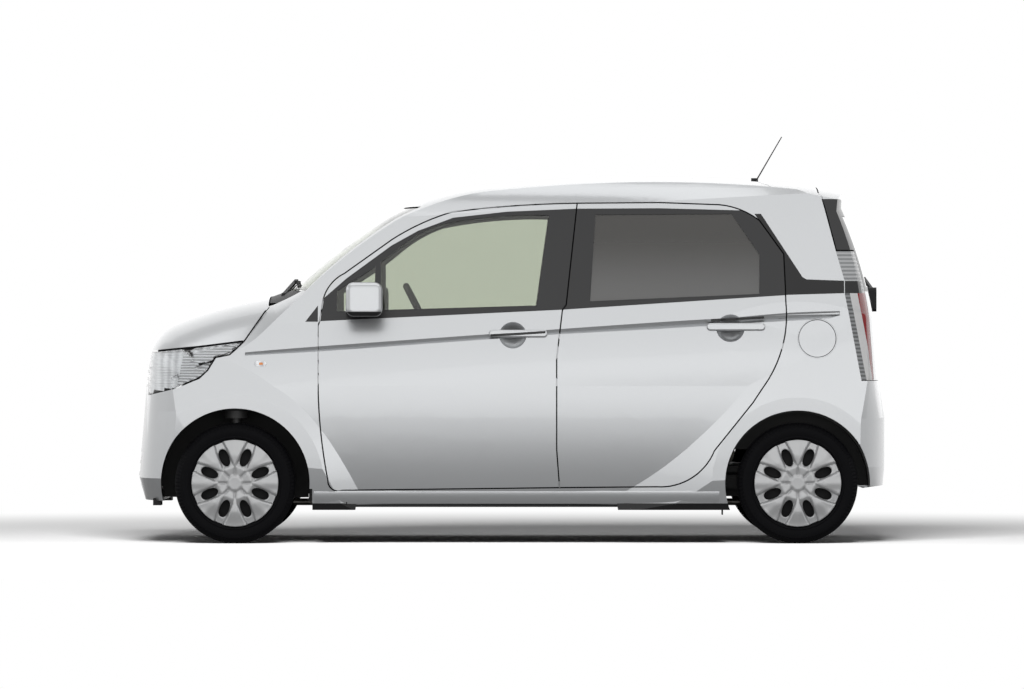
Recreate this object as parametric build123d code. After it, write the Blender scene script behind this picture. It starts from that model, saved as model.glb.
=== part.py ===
"""Kei-class five-door hatchback, built as separate panels, doors, glass, lamps, seats and running gear.

Millimetres. +X points to the rear, +Y to the car's right, +Z up. The origin lies on the ground,
midway between the nose and the tail. The car drives on the left, so its steering wheel is at +Y.
"""
from build123d import *
import math
import os

# ---------------------------------------------------------------- driving dimensions
length = 3395.0            # nose to tail
width = 1475.0             # across the wheel-arch flares, without the mirrors
height = 1650.0            # ground to the top of the roof
wheelbase = 2520.0
front_overhang = 459.0     # nose to front axle
track = 1296.0             # between the tyres' middle planes
tyre_radius = 270.0
tyre_width = 152.0
rim_radius = 186.0
arch_gap = 65.0            # tyre tread to the front wheel-arch edge
rear_arch_gap = 56.0
flare_proud = 9.0          # how far a wheel-arch flare stands out of the body side
flare_reach = 24.0         # the same where the body draws in towards the nose
shut_gap = 6.0             # between a door, lid or bonnet and the panel beside it
skin = 10.0                # outer skin of a door, with the seal step behind it
panel = 16.0               # fenders, bonnet and bumpers
wall = 45.0                # roof, pillars and window frames
door_depth = 110.0         # door and body side below the belt line
door_step = 34.0           # door body set in from the door's outer edge
glass_set = 4.0            # glass face below the outer surface
seat_width = 500.0
steering_wheel_radius = 180.0
engine_size = (420.0, 520.0, 470.0)
lock_angle = 30.0

half_width = width / 2
front_x = -length / 2 + front_overhang
rear_x = front_x + wheelbase
arch_radius = tyre_radius + arch_gap
rear_arch_radius = tyre_radius + rear_arch_gap
side_half = half_width - flare_proud     # body side without the flares
wheel_y = track / 2

# ---------------------------------------------------------------- reference places
# The tables below give places on the standard car. These three functions carry them to the
# driving dimensions: X keeps overhangs and stretches between the axles, Y and Z follow the size.
STANDARD_X = (-1697.5, -1238.5, 1281.5, 1697.5)
STANDARD_HALF = 737.5
STANDARD_HEIGHT = 1650.0
ACTUAL_X = (-length / 2, front_x, rear_x, length / 2)


def X(x):
    """Place along the car: anchored at the nose, both axles and the tail."""
    i = 0 if x < STANDARD_X[1] else 2 if x > STANDARD_X[2] else 1
    s0, s1, a0, a1 = STANDARD_X[i], STANDARD_X[i + 1], ACTUAL_X[i], ACTUAL_X[i + 1]
    return a0 + (x - s0) * (a1 - a0) / (s1 - s0)


def Y(y):
    return y * half_width / STANDARD_HALF


def Z(z):
    return z * height / STANDARD_HEIGHT


# ---------------------------------------------------------------- outline helpers
def inset(points, d):
    """Move a closed outline's points inward by d (outward if negative), keeping its arcs."""
    n = len(points)
    area = sum(points[i][0] * points[(i + 1) % n][1] - points[(i + 1) % n][0] * points[i][1]
               for i in range(n))
    s = 1 if area > 0 else -1
    moved = []
    for i in range(n):
        (u0, v0), (u1, v1), (u2, v2) = points[i - 1][:2], points[i][:2], points[(i + 1) % n][:2]
        a, b = math.hypot(u1 - u0, v1 - v0), math.hypot(u2 - u1, v2 - v1)
        n1 = (-(v1 - v0) / a * s, (u1 - u0) / a * s)
        n2 = (-(v2 - v1) / b * s, (u2 - u1) / b * s)
        k = d / (1 + n1[0] * n2[0] + n1[1] * n2[1])
        moved.append((u1 + k * (n1[0] + n2[0]), v1 + k * (n1[1] + n2[1])) + tuple(points[i][2:]))
    return moved


def ring(points, place):
    """Closed wire through points (u, v) or (u, v, 1), where 1 marks the middle of an arc."""
    n = len(points)
    edges, i = [], 0
    while i < n:
        a, b = points[i], points[(i + 1) % n]
        if len(b) > 2 and b[2]:
            c = points[(i + 2) % n]
            edges.append(Edge.make_three_point_arc(place(*a[:2]), place(*b[:2]), place(*c[:2])))
            i += 2
        else:
            edges.append(Edge.make_line(place(*a[:2]), place(*b[:2])))
            i += 1
    return Wire(edges)


def side_prism(points, y0, y1):
    """Outline in X and Z, pulled along Y."""
    wire = ring(points, lambda u, v: Vector(u, y0, v))
    return Solid.extrude(Face(wire), Vector(0, y1 - y0, 0))


def front_prism(points, x0, x1):
    """Outline in Y and Z, pulled along X."""
    wire = ring(points, lambda u, v: Vector(x0, u, v))
    return Solid.extrude(Face(wire), Vector(x1 - x0, 0, 0))


def top_prism(points, z0, z1):
    """Outline in X and Y, pulled along Z."""
    wire = ring(points, lambda u, v: Vector(u, v, z0))
    return Solid.extrude(Face(wire), Vector(0, 0, z1 - z0))


def block(x0, x1, y0, y1, z0, z1):
    return Pos((x0 + x1) / 2, (y0 + y1) / 2, (z0 + z1) / 2) * Box(x1 - x0, y1 - y0, z1 - z0)


ALIGN_UP = (Align.CENTER, Align.CENTER, Align.MIN)


def cross_tube(x, z, radius, y0, y1):
    """Round bar along Y."""
    return Pos(x, (y0 + y1) / 2, z) * Rot(90, 0, 0) * Cylinder(radius, y1 - y0)


def both(shape):
    """A left-hand piece and its mirror image."""
    return shape, mirror(shape, about=Plane.XZ)


def placed(points):
    """Table outline in X and Z carried to the driving dimensions."""
    return [(X(p[0]), Z(p[1])) + tuple(p[2:]) for p in points]


# ---------------------------------------------------------------- body form
# Lengthwise outline: x and z at the middle of the car, then how far the same point has moved
# in x and z at the outer edge; the last column marks the middle of an arc.
LENGTHWISE = [
    (-1668, 190, 250, 0, 0),       # front lip
    (-1697.5, 290, 262, 0, 0),     # bumper, foremost
    (-1672, 590, 262, 0, 0),
    (-1657, 788, 250, -70, 0),     # lamp level
    (-1622, 914, 215, -170, 1),
    (-1545, 985, 190, -250, 0),    # bonnet leading edge
    (-1290, 1070, 120, -310, 1),
    (-1085, 1112, 60, -190, 0),    # bonnet rear edge
    (-1000, 1142, 120, -60, 0),    # foot of the windscreen
    (-782, 1327, 125, -75, 1),
    (-560, 1478, 130, -90, 0),
    (-330, 1572, 110, -110, 1),
    (-60, 1616, 60, -120, 0),      # roof front
    (560, 1647, 0, -130, 1),
    (1300, 1621, -60, -130, 0),    # roof rear
    (1500, 1588, -110, -140, 0),   # spoiler tip
    (1498, 1510, -110, -60, 0),
    (1564, 1340, -120, 0, 1),      # tailgate glass
    (1645, 1010, -130, 0, 0),
    (1664, 760, -130, 0, 0),
    (1697.5, 560, -210, 0, 0),     # rear bumper, rearmost
    (1697.5, 340, -215, 0, 0),
    (1690, 254, -215, 0, 0),       # foot of the rear bumper
    (1050, 168, 0, 0, 0),          # sill, rear end
    (-980, 168, 0, 0, 0),
]
form_half = 760.0                  # half-width at which the outer-edge columns hold
ACROSS = [(0.0, 0.0), (0.55, 0.10), (0.85, 0.46), (1.0, 1.0)]    # share of half-width, of movement

# Crosswise sections: x, half-width at the widest line, height of the belt line
CROSSWISE = [
    (-1760, 698, 955),
    (-900, 724, 985),
    (200, 728.5, 1052),
    (1250, 726, 1112),
    (1760, 704, 1140),
]


def lengthwise_form(d):
    rows = [(-y, k) for y, k in reversed(ACROSS[1:])] + ACROSS
    wires = []
    for y, k in rows:
        points = inset([(X(x + k * dx), Z(z + k * dz), arc) for x, z, dx, dz, arc in LENGTHWISE], d)
        wires.append(ring(points, lambda u, v, y=y: Vector(u, Y(y * form_half), v)))
    return Solid.make_loft(wires)


def half_section(half, belt):
    """Right-hand half of a crosswise section, from the underside to above the roof."""
    return [(half - 60, 120, 0), (half - 30, 185, 0), (half - 4, 420, 1), (half, 705, 0),
            (half - 14, belt - 150, 1), (half - 44, belt + 5, 0), (half - 88, belt + 240, 1),
            (half - 140, belt + 455, 0), (half - 180, 1590, 1), (half - 260, 1640, 0),
            (half - 330, 1800, 0)]


def crosswise_form(d):
    wires = []
    for x, half, belt in CROSSWISE:
        right = [(Y(y), Z(z), arc) for y, z, arc in half_section(half, belt)]
        left = [(-y, z, arc) for y, z, arc in reversed(right)]
        wires.append(ring(inset(right + left, d), lambda u, v, x=x: Vector(X(x), u, v)))
    return Solid.make_loft(wires)


def body_form(d):
    """The car's closed outer shape, d below its surface."""
    return lengthwise_form(d) & crosswise_form(d)


# Wheel-arch flares: axle, arch radius, width of the flat lip, width of the slope up to it
FLARES = [(front_x, arch_radius, 62.0, 155.0), (rear_x, rear_arch_radius, 58.0, 430.0)]


def flare(x, radius, lip, slope):
    """Wheel-arch flare on the left side: a shallow cone that blends into the body side."""
    sunk = 25.0
    cone = Cone(radius + lip + slope, radius + lip, sunk + flare_proud, align=ALIGN_UP)
    return Pos(x, sunk - side_half, tyre_radius) * Rot(90, 0, 0) * cone


# Character line pressed into the body side: x, z
CREASE = [(-1194, 852), (-870, 873), (216, 951), (887, 991), (1244, 1014), (1470, 1024)]
crease_depth = 9.0
crease_height = 24.0
crease_low = 5.0                   # its deepest line lies this far below the middle


def body_side_y(x, z):
    """Distance of the body side from the middle at a place between the sill and the belt."""
    for (x0, h0, b0), (x1, h1, b1) in zip(CROSSWISE, CROSSWISE[1:]):
        if x <= x1:
            t = (x - x0) / (x1 - x0)
            half, belt = h0 + t * (h1 - h0), b0 + t * (b1 - b0)
            break
    (y0, z0), (ym, zm), (y1, z1) = (half, 705), (half - 14, belt - 150), (half - 44, belt + 5)
    t = max(0.0, (z - z0) / (z1 - z0))
    tm = (zm - z0) / (z1 - z0)
    # parabola through the three points of the section's arc
    a = ((y1 - y0) - (ym - y0) / tm) / (1 - tm)
    b = (y1 - y0) - a
    return y0 + b * t + a * t * t


def crease():
    """Long groove with a broad upper face that looks down and a narrow lower one, fading at its ends."""
    wires, over, half = [], 12.0, crease_height / 2
    for i, (x, z) in enumerate(CREASE):
        y, z = Y(body_side_y(x, z)), Z(z) - crease_low
        depth = 1.0 if i in (0, len(CREASE) - 1) else crease_depth
        grow = (depth + over) / crease_depth
        points = [(-(y + over), z - (half - crease_low) * grow), (-(y - depth), z),
                  (-(y + over), z + (half + crease_low) * grow)]
        wires.append(ring(points, lambda u, v, x=x: Vector(X(x), u, v)))
    return Solid.make_loft(wires, ruled=True)


# ---------------------------------------------------------------- shut lines (x, z, arc)
B_SEAM = [(215, 250), (202, 420), (202, 830), (228, 1045), (245, 1069), (295, 1526)]
DOOR_FRONT = [(-868, 975), (-866, 700), (-852, 480, 1), (-822, 285), (-808, 248, 1), (-760, 238)] \
    + B_SEAM + [(-20, 1512, 1), (-266, 1487), (-420, 1428, 1), (-539, 1361), (-750, 1210),
                (-812, 1160, 1), (-844, 1096), (-861, 993)]
DOOR_REAR = [(663, 1529), (934, 1519), (1064, 1480, 1), (1113, 1448), (1221, 1297), (1228, 1130),
             (1229, 1075), (1215, 890, 1), (1148, 732), (1079, 629), (908, 416), (800, 290, 1),
             (652, 254)] + B_SEAM
FRONT_LIGHT = [(-782, 1040), (-782, 1130), (-615, 1238), (-526, 1308), (-430, 1378, 1),
               (-320, 1430), (-90, 1464, 1), (168, 1472), (112, 1066)]
REAR_LIGHT = [(352, 1085), (377, 1474), (988, 1478), (1112, 1294), (1110, 1118)]
QUARTER_BAR_X = (-612, -586)       # upright between the front door's corner light and its pane
HEADLAMP = [(-1760, 856), (-1592, 859), (-1353, 883), (-1199, 902), (-1262, 848), (-1326, 835),
            (-1361, 777), (-1397, 737), (-1504, 693), (-1630, 664), (-1760, 655)]
BONNET_EDGE = [(-1760, 862), (-1592, 865), (-1353, 889), (-1199, 908), (-1138, 1000), (-1090, 1062)]
FENDER = [(-1300, 245), (-1374, 587), (-1397, 737), (-1397, 1000), (-1089, 1160), (-941, 1138),
          (-868, 1078), (-868, 245)]
REAR_BUMPER = [(1400, 150), (1427, 571), (1566, 728), (1760, 728), (1760, 150)]
TAIL_LAMP = [(1455, 1310), (1494, 1174), (1494, 1116), (1566, 731), (1760, 731), (1760, 1310)]
QUARTER_TRIM = [(1120, 1478), (1304, 1194), (1322, 1183), (1491, 1177), (1491, 1121), (1229, 1113),
                (1200, 1113), (1200, 1330), (1090, 1478)]
bonnet_rear_x = -1089.0
lamp_inner_y = 400.0               # headlamp's inner end
tail_split_y = 572.0               # tailgate edge
roof_split_y = 540.0               # roof panel edge
roof_rear_x = 1383.0
screen_foot_z, screen_top_z = 1132.0, 1512.0
screen_foot_y = 655.0
inner_y = side_half - door_depth   # inner face of doors and body sides
step_z = 1055.0                    # inner face steps out to the window frames above this
firewall_x = -860.0

lamp_depth = 60.0
FAR = 850.0                        # beyond any side of the body


class Form:
    """Nested closed shapes of the body, made once."""


def make_forms():
    f = Form()
    f.skin = body_form(skin)
    f.seal = body_form(panel)
    f.glass_face = body_form(glass_set)
    room = body_form(wall)
    low = block(X(firewall_x), X(1520), -inner_y, inner_y, 100, Z(step_z))
    high = block(X(-1200), X(1650), -FAR, FAR, Z(step_z), Z(1700))
    f.room = room & (low + high)
    outer = body_form(0)
    swollen = body_form(-flare_reach)
    for x, radius, lip, slope in FLARES:
        for piece in both(flare(x, radius, lip, slope) & swollen):
            outer += piece
    for x, radius, lip, slope in FLARES:
        for piece in both(cross_tube(x, tyre_radius, radius, -FAR, -480)):
            outer -= piece
    for piece in both(crease()):
        outer -= piece
    f.outer = outer
    f.side = outer & block(X(-1760), X(1760), -FAR, -200, 0, 1800)
    f.shell = f.side - f.room            # whole wall, left half
    f.thin = outer - f.seal              # fenders, bonnet, bumpers
    f.pane = f.glass_face - f.skin       # every window
    f.lamp_back = body_form(lamp_depth)
    f.roof_block = outer & block(X(1000), X(1250), -100, 100, 1500, 1750)
    f.cowl_room = outer & block(X(-1200), X(-900), -Y(600), Y(600), Z(1040), Z(1200))
    return f


forms = make_forms()
left_span = (-FAR, -300.0)


def left_prism(points, d=0.0):
    return side_prism(inset(placed(points), d), *left_span)


# ---------------------------------------------------------------- side doors
def handle_bar(x, z):
    y = -Y(body_side_y(x, z))
    bar = Pos(X(x), y - 6, Z(z)) * Box(262, 20, 34)
    bar = fillet(bar.edges().filter_by(Axis.Y), 16)
    bar = fillet(bar.faces().sort_by(Axis.Y)[0].edges(), 7)
    return bar


def handle_recess(x, z):
    y = -Y(body_side_y(x, z))
    return Pos(X(x), y - 44, Z(z)) * Sphere(75)


def side_door(outline, light, handle_x, handle_z):
    """A left door: skin to the shut line, body set in behind it, light cut through."""
    door = forms.shell & left_prism(outline, shut_gap / 2)
    edge = left_prism(outline, -20) - left_prism(outline, door_step)
    door = door - (edge & forms.skin) - left_prism(light)
    door = door - handle_recess(handle_x - 25, handle_z) + handle_bar(handle_x, handle_z)
    return door


def door_glass(light):
    return forms.pane & left_prism(light)


def front_door():
    door = side_door(DOOR_FRONT, FRONT_LIGHT, 30, 940)
    x0, x1 = (X(x) for x in QUARTER_BAR_X)
    bar = forms.shell & left_prism(FRONT_LIGHT) & block(x0, x1, -FAR, -300, Z(900), Z(1500))
    bar = bar & block(x0, x1, -FAR, -300, 0, 1800)
    return door + bar


def front_glass():
    pane = door_glass(FRONT_LIGHT)
    x0, x1 = (X(x) for x in QUARTER_BAR_X)
    return pane - block(x0, x1, -FAR, -300, Z(900), Z(1500))


def door_mirror():
    """Rounded shell with its glass let into the rear face, on a foot at the door's corner."""
    x, y, z = X(-657), -Y(805), Z(1092)
    shell = Box(163, 150, 152)
    shell = fillet(shell.edges().filter_by(Axis.Y), 34)
    shell = fillet(shell.faces().sort_by(Axis.X)[0].edges() + shell.faces().sort_by(Axis.Y)[0].edges(), 26)
    shell -= Pos(81.5, 0, 0) * Box(16, 118, 112)
    foot = block(X(-742), X(-655), -Y(760), -Y(690), Z(1034), Z(1072))
    return Pos(x, y, z) * shell + (foot - forms.outer)


# ---------------------------------------------------------------- fixed body panels
def apertures():
    """What both door openings take out of a body side."""
    cut = []
    for outline in (DOOR_FRONT, DOOR_REAR):
        cut.append(left_prism(outline, -shut_gap / 2) - forms.seal)
        cut.append(left_prism(outline, door_step - shut_gap))
    return cut


FUEL_LID = (1369, 918, 85.0)       # x, z, radius
JACK_POINTS = (-760.0, 655.0)      # middles of the jacking flanges under the sill


def fuel_pocket(radius, y0, y1):
    x, z, _ = FUEL_LID
    return cross_tube(X(x), Z(z), radius, y0, y1)


def side_frame():
    """Sill, pillars, roof rail and rear quarter in one pressing, left side, without the fuel pocket."""
    outline = [(-1100, 1138), (-941, 1138), (-868, 1078), (-868, 245), (-892, 245), (-892, 150),
               (1400, 150), (1427, 571), (1566, 728), (1566, 734), (1494, 1116), (1494, 1174),
               (1455, 1310), (1403, 1510), (1377, 1600), (1377, 1700), (-700, 1700)]
    frame = forms.shell & left_prism(outline)
    s = [(-FAR, 100), (-inner_y, 100), (-inner_y, Z(1100)), (-Y(screen_foot_y), Z(1100)),
         (-Y(roof_split_y), Z(screen_top_z)), (-Y(roof_split_y), 1800), (-FAR, 1800)]
    frame = frame & front_prism(s, X(-1760), X(1760))
    tail = block(X(roof_rear_x - 1), X(1760), -Y(tail_split_y) - shut_gap / 2, 0, Z(700), 1800)
    frame = frame - tail
    for cut in apertures():
        frame -= cut
    frame -= left_prism(QUARTER_TRIM) - forms.skin
    frame = frame - left_prism(TAIL_LAMP)
    for x in JACK_POINTS:
        frame += block(X(x) - 45, X(x) + 45, -Y(690), -Y(676), 156, 185)
    return frame


def quarter_trim():
    """Gloss-black panel from the rear door's window round to the tail lamp."""
    trim = (forms.side & left_prism(QUARTER_TRIM)) - forms.skin
    return trim - left_prism(DOOR_REAR, -shut_gap / 2)


def front_fender():
    fender = forms.thin & left_prism(FENDER) & block(X(-1500), X(-868), -FAR, -Y(500), 0, 1800)
    bonnet_cut = [(x, z - shut_gap) for x, z in BONNET_EDGE[2:]] + [(-1083, 1300), (-1500, 1300),
                                                                   (-1500, 862)]
    fender = fender - left_prism(bonnet_cut) - left_prism(HEADLAMP)
    s = [(-FAR, 100), (-Y(500), 100), (-Y(500), Z(1040)), (-Y(640), Z(1160)), (-FAR, Z(1160))]
    return fender & front_prism(s, X(-1760), X(1760))


def bonnet():
    outline = BONNET_EDGE + [(bonnet_rear_x - shut_gap, 1068), (bonnet_rear_x - shut_gap, 1300),
                             (-1760, 1300)]
    prism = side_prism(placed(outline), -FAR, FAR)
    return forms.thin & prism


def lamp_room():
    """Space the left headlamp takes at the body's corner, from the nose to its inner end."""
    return left_prism(HEADLAMP) & block(X(-1760), X(-1100), -FAR, -Y(lamp_inner_y), 0, 1200)


def headlamp():
    return (forms.side & lamp_room()) - forms.lamp_back


GRILLE = (395.0, 700.0, 800.0)     # half-width, bottom, top
INTAKE = (330.0, 250.0, 410.0)
grille_bars = 3


def nose_opening(half, z0, z1):
    """Upright rectangle through the front bumper."""
    outline = [(-Y(half), z0), (Y(half), z0), (Y(half), z1), (-Y(half), z1)]
    return front_prism(outline, X(-1760), X(-1500))


def front_bumper():
    outline = [(-1760, 120), (-1300, 120), (-1374, 587), (-1397, 737), (-1397, 878), (-1592, 859),
               (-1760, 856)]
    bumper = forms.thin & side_prism(placed(outline), -FAR, FAR)
    bumper = bumper - block(X(-1560), X(-1000), -Y(lamp_inner_y), Y(lamp_inner_y), 0, 1200)
    bumper = bumper - block(X(-1575), X(-1000), -Y(500), Y(500), 0, 600)
    for piece in both(lamp_room()):
        bumper -= piece
    for half, z0, z1 in (GRILLE, INTAKE):
        bumper -= nose_opening(half, Z(z0), Z(z1))
    return bumper


def grille():
    """Slatted grille above and intake below, each in its frame."""
    frame, bar_height = 12.0, 14.0
    made = None
    for half, z0, z1 in (GRILLE, INTAKE):
        outer = forms.thin & nose_opening(half, Z(z0), Z(z1))
        pitch = (Z(z1) - Z(z0)) / grille_bars
        for i in range(grille_bars):
            low = Z(z0) + 10 + i * pitch
            gap = [(-Y(half) + frame, low), (Y(half) - frame, low),
                   (Y(half) - frame, low + pitch - bar_height),
                   (-Y(half) + frame, low + pitch - bar_height)]
            outer -= front_prism(gap, X(-1760), X(-1500))
        made = outer if made is None else made + outer
    return made


def rear_bumper():
    cover = forms.thin & side_prism(placed(REAR_BUMPER), -FAR, FAR)
    return cover - block(X(1390), X(1590), -Y(560), Y(560), 0, Z(250))


def tail_lamp():
    lamp = (forms.side & left_prism(TAIL_LAMP)) - forms.lamp_back
    return lamp & block(X(1400), X(1760), -FAR, -Y(tail_split_y) - shut_gap / 2, 0, 1800)


def roof_panel():
    outline = [(-700, screen_top_z), (-380, screen_top_z), (-380, 1400), (roof_rear_x - shut_gap, 1400),
               (roof_rear_x - shut_gap, 1750), (-700, 1750)]
    split = Y(roof_split_y)
    return (forms.outer - forms.room) & side_prism(placed(outline), -split, split)


TAIL_GLASS = [(500, 1150), (525, 1470)]   # half-width, height at the foot and the top


def rear_window():
    """The tailgate's window opening."""
    (foot, z0), (top, z1) = TAIL_GLASS
    outline = [(-Y(foot), Z(z0)), (Y(foot), Z(z0)), (Y(top), Z(z1)), (-Y(top), Z(z1))]
    return front_prism(outline, X(1300), X(1760))


def tailgate():
    middle = [(1440, 734), (1760, 734), (1760, 1750), (roof_rear_x, 1750), (roof_rear_x, 1400),
              (1440, 1040)]
    crown = [(1459, 1316), (1760, 1316), (1760, 1750), (roof_rear_x, 1750), (roof_rear_x, 1600),
             (1409, 1510)]
    split = Y(tail_split_y) - shut_gap / 2
    span = side_prism(placed(middle), -split, split) + side_prism(placed(crown), -FAR, FAR)
    gate = (forms.outer - forms.room) & span
    return gate - rear_window()


def tailgate_glass():
    return forms.pane & rear_window()


def windscreen():
    foot = Y(screen_edge(screen_foot_z))
    s = [(-foot, Z(screen_foot_z)), (foot, Z(screen_foot_z)),
         (Y(roof_split_y), Z(screen_top_z)), (-Y(roof_split_y), Z(screen_top_z))]
    glass = forms.pane & front_prism(s, X(-1200), X(-390))
    for fender in both(left_prism(FENDER, -1)):
        glass -= fender
    return glass


def screen_edge(z):
    """Half-width of the windscreen opening at height z."""
    t = (z - 1100) / (screen_top_z - 1100)
    return screen_foot_y + t * (roof_split_y - screen_foot_y)


cowl_z = 1078.0                    # floor of the cowl, level with the bonnet's rear edge


def cowl():
    cut = side_prism(placed([(bonnet_rear_x, cowl_z), (-940, cowl_z), (-940, screen_foot_z),
                             (bonnet_rear_x, screen_foot_z)]), -Y(617), Y(617))
    s = [(-Y(500), Z(1040)), (Y(500), Z(1040)), (Y(640), Z(1160)), (-Y(640), Z(1160))]
    return forms.outer & cut & front_prism(s, X(-1200), X(-900))


def bar(start, end, wide, high):
    """Straight flat bar between two points."""
    along = end - start
    across = Vector(0, 0, 1).cross(along)
    plane = Plane(origin=(start + end) / 2, x_dir=along, z_dir=across.cross(along) * -1)
    return plane * Box(along.length, wide, high)


def shift_across(y):
    """Share of the outer-edge movement that the body form has at a distance y from its middle."""
    share = abs(y) / form_half
    for (a, k0), (b, k1) in zip(ACROSS, ACROSS[1:]):
        if share <= b:
            return k0 + (k1 - k0) * (share - a) / (b - a)
    return 1.0


def on_screen(y, up, off):
    """Point `off` above the windscreen or cowl, `up` millimetres up the slope from the screen's foot."""
    k = shift_across(y)
    x, z = -1000 + 120 * k + up * 0.76, 1142 - 60 * k + up * 0.65
    return Vector(X(x - off * 0.65), Y(y), Z(z + off * 0.76))


WIPERS = [(-430, -160, 470), (60, 350, 400)]       # pivot y, blade's middle y, blade length


def front_wipers():
    """Both front wipers: pivot on the cowl, arm and blade along the foot of the windscreen."""
    made = None
    for pivot_y, blade_y, blade in WIPERS:
        pivot = on_screen(pivot_y, -45, 14)
        ends = [on_screen(blade_y + side * blade / 2, 34, 18) for side in (-1, 1)]
        middle = (ends[0] + ends[1]) / 2 + Vector(0, 0, 9)
        spindle = Pos(pivot - Vector(0, 0, 40)) * Cylinder(11, 46, align=ALIGN_UP)
        wiper = (spindle + bar(pivot, middle, 16, 10) + bar(*ends, 14, 16)) - forms.cowl_room
        made = wiper if made is None else made + wiper
    return made


def rear_wiper():
    """Rear wiper: motor cover under the tailgate glass, arm and blade along the glass's foot."""
    z = Z(1094)
    cover = block(X(1600), X(1668), -42, 42, z - 52, z + 58)
    cover = fillet(cover.edges().filter_by(Axis.X), 18) - forms.outer
    start, end = Vector(X(1662), 0, z + 30), Vector(X(1628), 330, Z(1196))
    arm = bar(start, end, 12, 16)
    return cover + arm


# ---------------------------------------------------------------- structure under the skin
def firewall_and_floor():
    """Firewall, cabin floor, raised rear floor and tail panel in one folded sheet."""
    t = 28.0
    line = [(-1085, 1050), (-965, 1050), (-888, 980), (-888, 215), (640, 215), (700, 345),
            (1100, 345), (1150, 440), (1600, 440), (1600, 715)]
    back = [(1628, 715), (1628, 440 - t), (1165, 440 - t), (1115, 345 - t), (712, 345 - t),
            (655, 215 - t), (-888 - t, 215 - t), (-888 - t, 968), (-975, 1022), (-1085, 1022)]
    outline = line + back
    sheet = side_prism(placed(outline), -inner_y, inner_y)
    for piece in both(block(X(-1100), X(-860), -FAR, -Y(470), Z(960), Z(1100))
                      + block(X(1560), X(1640), -FAR, -Y(480), 300, 800)):
        sheet -= piece
    for piece in both(cross_tube(rear_x, tyre_radius, rear_arch_radius, -FAR, -540)):
        sheet -= piece
    for piece in both(cross_tube(front_x, tyre_radius, arch_radius, -FAR, -392)):
        sheet -= piece
    for piece in both(rear_wheelhouse()):
        sheet += piece
    return sheet


def rear_wheelhouse():
    """Left rear wheelhouse: a band round the tyre, 1 mm inside the body's arch, and its inner wall."""
    outer, t = rear_arch_radius - 1, 8.0
    house = cross_tube(rear_x, tyre_radius, outer, -side_half + 40, -538)
    house -= cross_tube(rear_x, tyre_radius, outer - t, -FAR, -538 - t)
    house -= block(rear_x - 400, rear_x + 120, -FAR, 0, -FAR, Z(420))
    house -= block(rear_x - 400, rear_x + 400, -FAR, 0, -FAR, 258)
    return house


strut_y = 545.0
kingpin_y = 560.0
tower_top_z = tyre_radius + arch_radius + 90
arm_top_z = 190.0                  # upper face of the lower arms


def front_structure():
    """Side rails, wheelhouse liners with strut towers, and the radiator cross members."""
    liner_y0, rail = 392.0, (320.0, 400.0)
    ring_outer = cross_tube(front_x, tyre_radius, arch_radius + 12, -FAR, -liner_y0)
    ring_inner = cross_tube(front_x, tyre_radius, arch_radius + 3, -FAR, -liner_y0 - 8)
    liner = ring_outer - ring_inner - block(front_x - 400, front_x + 400, -FAR, 0, 0, 200)
    liner -= block(front_x - 240, front_x + 240, -FAR, 0, 0, Z(330))
    liner = liner & forms.seal
    tower = Pos(front_x, -strut_y, 0)
    liner -= tower * Pos(0, 0, 640) * Cylinder(70, 200)
    low = tyre_radius + arch_radius - 12
    cup = Cylinder(78, tower_top_z - low + 8, align=ALIGN_UP)
    cup -= Cylinder(70, tower_top_z - low, align=ALIGN_UP)
    liner = liner + Pos(front_x, -strut_y, low) * cup
    liner = liner & block(X(-1640), X(-917), -FAR, 0, 0, 900)
    liner = liner - block(X(-1640), X(-1575), -FAR, 0, 0, 900)
    side = liner + block(X(-1600), X(-916), -rail[1], -rail[0], Z(330), Z(430))
    left_half, right_half = both(side)
    radiator = block(X(-1600), X(-1570), -rail[1], rail[1], Z(250), Z(800))
    beam = block(X(-1634), X(-1600), -rail[1], rail[1], Z(430), Z(520))
    return left_half + right_half + radiator + beam


def knuckle():
    """Left front upright with its strut; it turns about the vertical line at kingpin_y."""
    x, z, y = front_x, tyre_radius, -kingpin_y
    hub = cross_tube(x, z, 44, -596, -572)
    web = block(x - 30, x + 30, -585, y + 35, z - 70, z + 100)
    top = tower_top_z - 0.5
    strut = Pos(x, -strut_y, z + 60) * Cylinder(20, top - z - 60, align=ALIGN_UP)
    coil = Pos(x, -strut_y, z + 290) * Cylinder(52, top - z - 300, align=ALIGN_UP)
    stud = Pos(x, -kingpin_y, arm_top_z + 0.5) * Cylinder(10, 20, align=ALIGN_UP)
    arm = block(x + 20, x + 130, -584, -560, z - 30, z - 10)
    body = hub + web + strut + coil + arm + stud
    return body - cross_tube(x, z, 22, -700, -500)


def front_subframe():
    """Cross member under the engine with both lower arms."""
    cross = block(front_x + 145, front_x + 235, -330, 330, 200, 262)
    arm_points = [(front_x + 235, -330), (front_x - 35, -330), (front_x - 25, -530),
                  (front_x - 28, -560), (front_x, -588, 1), (front_x + 28, -560), (front_x + 60, -480)]
    arm = top_prism(arm_points, 168, arm_top_z)
    lug = block(front_x + 145, front_x + 235, -330, -290, 168, 215)
    pad = block(front_x - 35, front_x + 235, -340, -300, 168, arm_top_z)
    left_half, right_half = both(arm + lug + pad)
    legs = [block(front_x + 145, front_x + 235, s * 350 - 50, s * 350 + 50, 215, Z(330)) for s in (-1, 1)]
    return cross + left_half + right_half + legs[0] + legs[1]


def steering_rack():
    """Rack bar with its two track rods, sliding sideways."""
    x, z = front_x + 120, tyre_radius - 56
    return cross_tube(x, 290, 14, -545, 545)


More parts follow.
